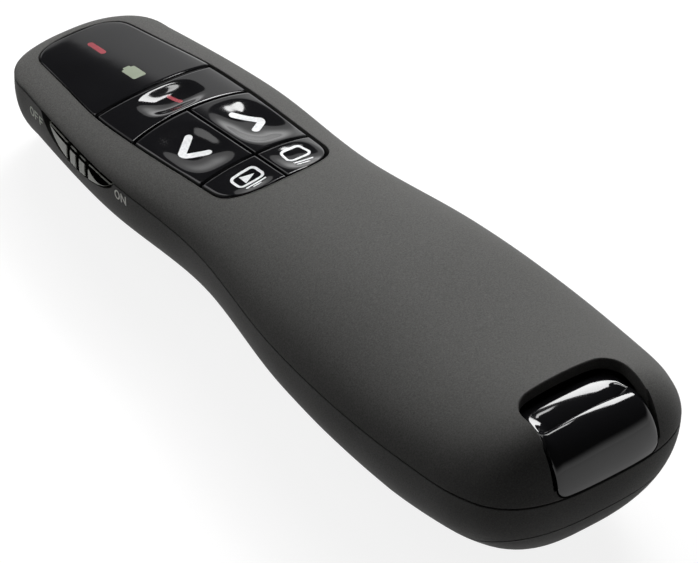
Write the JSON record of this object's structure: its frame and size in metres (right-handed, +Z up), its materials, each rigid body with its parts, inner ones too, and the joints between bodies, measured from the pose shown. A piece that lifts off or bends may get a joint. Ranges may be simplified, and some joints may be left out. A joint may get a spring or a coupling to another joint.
{
  "type": "wireless presentation clicker",
  "caption": "Hand-held wireless presentation clicker: waisted two-shell body, domed keys, laser key, side power slider, sliding battery door and a USB receiver that pulls out of the tail.",
  "frame": {"origin": "on the table below the middle of the body's bounding box", "axes": "+Y along the body towards the nose, +Z up through the keys, +X to the right seen from above with the nose away"},
  "size_m": [0.0376, 0.1156, 0.027],
  "materials": {
    "charcoal_soft_touch": "soft-touch, fine speckle",
    "gloss_black": "high gloss",
    "slider_grey": "satin",
    "red_lens": "translucent",
    "grey_green_lens": "translucent",
    "inner_plastic": "moulded",
    "ivory_plastic": "moulded",
    "switch_black": "moulded",
    "board_green": "solder mask",
    "chip_black": "moulded",
    "steel": "plated",
    "nickel": "plated",
    "gold": "plated",
    "brass": "turned",
    "cell_jacket": "printed film",
    "lens_glass": "clear",
    "red_filter": "clear red",
    "wire_red": "insulation",
    "part_tan": "fired ceramic"
  },
  "bodies": {
    "housing": {"upper_shell": "charcoal_soft_touch", "lower_shell": "charcoal_soft_touch", "front_panel": "gloss_black", "laser_indicator": "red_lens", "battery_indicator": "grey_green_lens", "key_switches": "switch_black", "main_board": "board_green", "radio_chip": "chip_black", "crystal": "nickel", "board_parts": "part_tan", "indicator_leds": "ivory_plastic", "board_screws": "steel", "case_screws": "steel", "slide_switch": "steel", "battery_tray": "inner_plastic", "battery_left": "cell_jacket", "battery_right": "cell_jacket", "bridge_plate": "nickel", "bridge_spring": "nickel", "negative_plate": "nickel", "negative_spring": "nickel", "positive_plate": "nickel", "laser_barrel": "brass", "laser_lens": "lens_glass", "laser_diode": "nickel", "laser_window": "red_filter", "laser_leads": "wire_red", "receiver_bay": "inner_plastic"},
    "laser_button": {"laser_key": "gloss_black", "laser_plunger": "ivory_plastic"},
    "back_button": {"back_key": "gloss_black", "back_plunger": "ivory_plastic"},
    "forward_button": {"forward_key": "gloss_black", "forward_plunger": "ivory_plastic"},
    "play_button": {"play_key": "gloss_black", "play_plunger": "ivory_plastic"},
    "blank_button": {"blank_key": "gloss_black", "blank_plunger": "ivory_plastic"},
    "power_switch": {"power_slider": "slider_grey", "switch_actuator": "switch_black"},
    "door": {"battery_door": "charcoal_soft_touch"},
    "receiver": {"receiver_cap": "gloss_black", "receiver_body": "gloss_black", "usb_shell": "nickel", "usb_tongue": "ivory_plastic", "usb_contacts": "gold", "receiver_board": "board_green", "receiver_chip": "chip_black"}
  },
  "joints": [
    {"name": "laser_press", "type": "slide", "parent": "housing", "child": "laser_button", "axis": [0, 0, -1], "range_m": [0, 0.0004], "stiffness_N_per_m": 400, "springref_m": -0.0003},
    {"name": "back_press", "type": "slide", "parent": "housing", "child": "back_button", "axis": [0, 0, -1], "range_m": [0, 0.0004], "stiffness_N_per_m": 400, "springref_m": -0.0003},
    {"name": "forward_press", "type": "slide", "parent": "housing", "child": "forward_button", "axis": [0, 0, -1], "range_m": [0, 0.0004], "stiffness_N_per_m": 400, "springref_m": -0.0003},
    {"name": "play_press", "type": "slide", "parent": "housing", "child": "play_button", "axis": [0, 0, -1], "range_m": [0, 0.0004], "stiffness_N_per_m": 400, "springref_m": -0.0003},
    {"name": "blank_press", "type": "slide", "parent": "housing", "child": "blank_button", "axis": [0, 0, -1], "range_m": [0, 0.0004], "stiffness_N_per_m": 400, "springref_m": -0.0003},
    {"name": "power_slide", "type": "slide", "parent": "housing", "child": "power_switch", "axis": [0.1033, 0.9946, 0], "range_m": [0, 0.002]},
    {"name": "door_slide", "type": "slide", "parent": "housing", "child": "door", "axis": [0, -1, 0], "range_m": [0, 0.068]},
    {"name": "receiver_slide", "type": "slide", "parent": "housing", "child": "receiver", "axis": [0, -0.9994, 0.0349], "range_m": [0, 0.056]}
  ]
}
